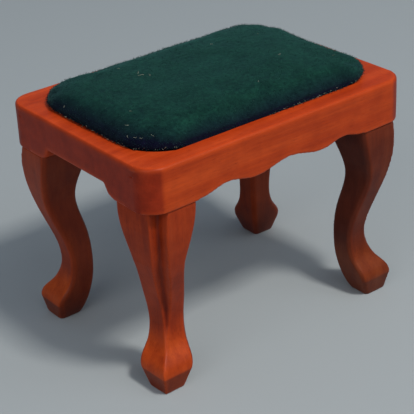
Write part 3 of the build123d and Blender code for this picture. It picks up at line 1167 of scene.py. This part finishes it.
# Painted light: the legs' feet are painted lighter, back out of the frame's shade
LIT_FOOT_TINT = (1.5, 1.75, 1.3)
# Painted shade: legs are darker than the rails, as shaded under the frame; the front right leg, and a little
# the back left, darker still
LEG_SHADED_TONES = {
    "front_left": (0.72, 0.72, 0.9),
    "front_right": (0.31, 0.42, 0.9),
    "back_left": (0.62, 0.7, 0.9),
    "back_right": (0.72, 0.78, 0.9),
}
# Painted shade under the toes, where it is also darker end grain, and on the legs' inner faces
TOE_AND_INNER_SHADE_TINTS = {
    "front_left": (0.42, 0.45, 0.8),
    "front_right": (0.62, 0.66, 0.9),
    "back_left": (0.4, 0.45, 0.84),
    "back_right": (0.4, 0.45, 0.84),
}
LEG_POLISH, DOWEL_POLISH, BOARD_POLISH = 0.38, 0.6, 0.65
LEG_MOTTLE = 0.7
X_AXIS, Z_AXIS = 0, 2
# Colours of the velvet's sides, painted dark as shade, and top, painted green as sheen; of lint and of
# wadding
VELVET_SHADED_SIDE, VELVET_SHEEN_TOP = (0.0026, 0.0026, 0.0120), (0.005, 0.0300, 0.0240)
LINT_COLOURS = ((0.26, 0.28, 0.20), (0.44, 0.46, 0.38))
WADDING_COLOURS = ((0.66, 0.63, 0.57), (0.82, 0.79, 0.72))


def toned(red, green, blue):
    """The stain's tones, tinted."""
    return [(r * red, g * green, b * blue) for r, g, b in STAIN]


rail_wood = wood("rail_wood", X_AXIS, STAIN, top_light=TOP_LIGHT_TINT)
for piece in rails.values():
    dress(piece, rail_wood)
for corner in CORNERS:
    tones = toned(*LEG_SHADED_TONES[corner])
    under = TOE_AND_INNER_SHADE_TINTS[corner]
    leg_wood = wood(corner + "_leg_wood", Z_AXIS, tones, LEG_POLISH, LEG_MOTTLE, under, LIT_FOOT_TINT)
    dress(legs[corner], leg_wood)
    dress(blocks[corner], rail_wood)
velvet_mat = velvet("velvet", VELVET_SHADED_SIDE, VELVET_SHEEN_TOP)
for piece in (pad, hem, fringe):
    dress(piece, velvet_mat)
dress(fuzz, plain("lint", LINT_COLOURS, scale=1.5, roughness=0.9))
dress(wadding, plain("wadding", WADDING_COLOURS, scale=0.8, roughness=0.95))
dowel_wood = wood("dowel_wood", Z_AXIS, DOWEL_TONES, DOWEL_POLISH)
board_wood = wood("board_wood", X_AXIS, BOARD_TONES, BOARD_POLISH)
for corner in CORNERS:
    dress(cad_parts[corner + "_dowel"], dowel_wood)
dress(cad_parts["seat_board"], board_wood)


# Floor, light and camera

# Half the floor's side, in millimetres
REACH = 900
floor = new_object("floor", [(sx * REACH, sy * REACH, 0) for sx, sy in TURNS], [(0, 1, 2, 3)], False)
floor_mat, floor_shader, _, _ = material("floor")
set_inputs(floor_shader, {"Base Color": (0.40, 0.44, 0.46, 1), "Roughness": 0.9, "Specular IOR Level": 0.1})
dress(floor, floor_mat)

# What the lamps face, in metres
TARGET = Vector((0, 0, 0.02))


def lamp(name, direction, distance, size, energy, colour):
    """A square softbox that faces the stool."""
    light = bpy.data.lights.new(name, "AREA")
    light.shape = "SQUARE"
    light.size = size
    light.energy = energy
    light.color = colour
    obj = bpy.data.objects.new(name, light)
    way = Vector(direction).normalized()
    obj.location = TARGET + way * distance
    obj.rotation_euler = way.to_track_quat("Z", "Y").to_euler()
    collection.objects.link(obj)


lamp("key", (0.125, -0.65, 1.0), 0.7, 0.10, 2.7, (1.0, 0.95, 0.88))
lamp("fill", (0.3, -1.0, 0.9), 0.8, 0.9, 2.0, (0.92, 0.97, 1.0))
lamp("side", (-1.0, -0.4, 0.55), 0.8, 0.6, 1.6, (1.0, 0.98, 0.96))
world = bpy.data.worlds.new("studio")
bpy.context.scene.world = world
world.use_nodes = True
set_inputs(world.node_tree.nodes["Background"], {"Color": (0.15, 0.18, 0.22, 1), "Strength": 1.0})

# The camera, fitted to the photograph: angles, place in metres, lens and sensor in millimetres
AZIMUTH, ELEVATION, ROLL = math.radians(-37.4284), math.radians(27.654), math.radians(-2.7679)
EYE = Vector((-0.107061, -0.138534, 0.107779))
LENS, SENSOR = 115.3074, 36.0
back = Vector((
    math.sin(AZIMUTH) * math.cos(ELEVATION),
    -math.cos(AZIMUTH) * math.cos(ELEVATION),
    math.sin(ELEVATION),
))
level = Vector((math.cos(AZIMUTH), math.sin(AZIMUTH), 0))
upright = back.cross(level)
right = level * math.cos(ROLL) + upright * math.sin(ROLL)
up = upright * math.cos(ROLL) - level * math.sin(ROLL)
lens = bpy.data.cameras.new("camera")
lens.sensor_width = SENSOR
lens.lens = LENS
lens.clip_start = 0.01
lens.clip_end = 10
camera = bpy.data.objects.new("camera", lens)
camera.matrix_world = Matrix((
    (right.x, up.x, back.x, EYE.x),
    (right.y, up.y, back.y, EYE.y),
    (right.z, up.z, back.z, EYE.z),
    (0, 0, 0, 1),
))
collection.objects.link(camera)
bpy.context.scene.camera = camera
bpy.context.scene.view_settings.view_transform = "Standard"
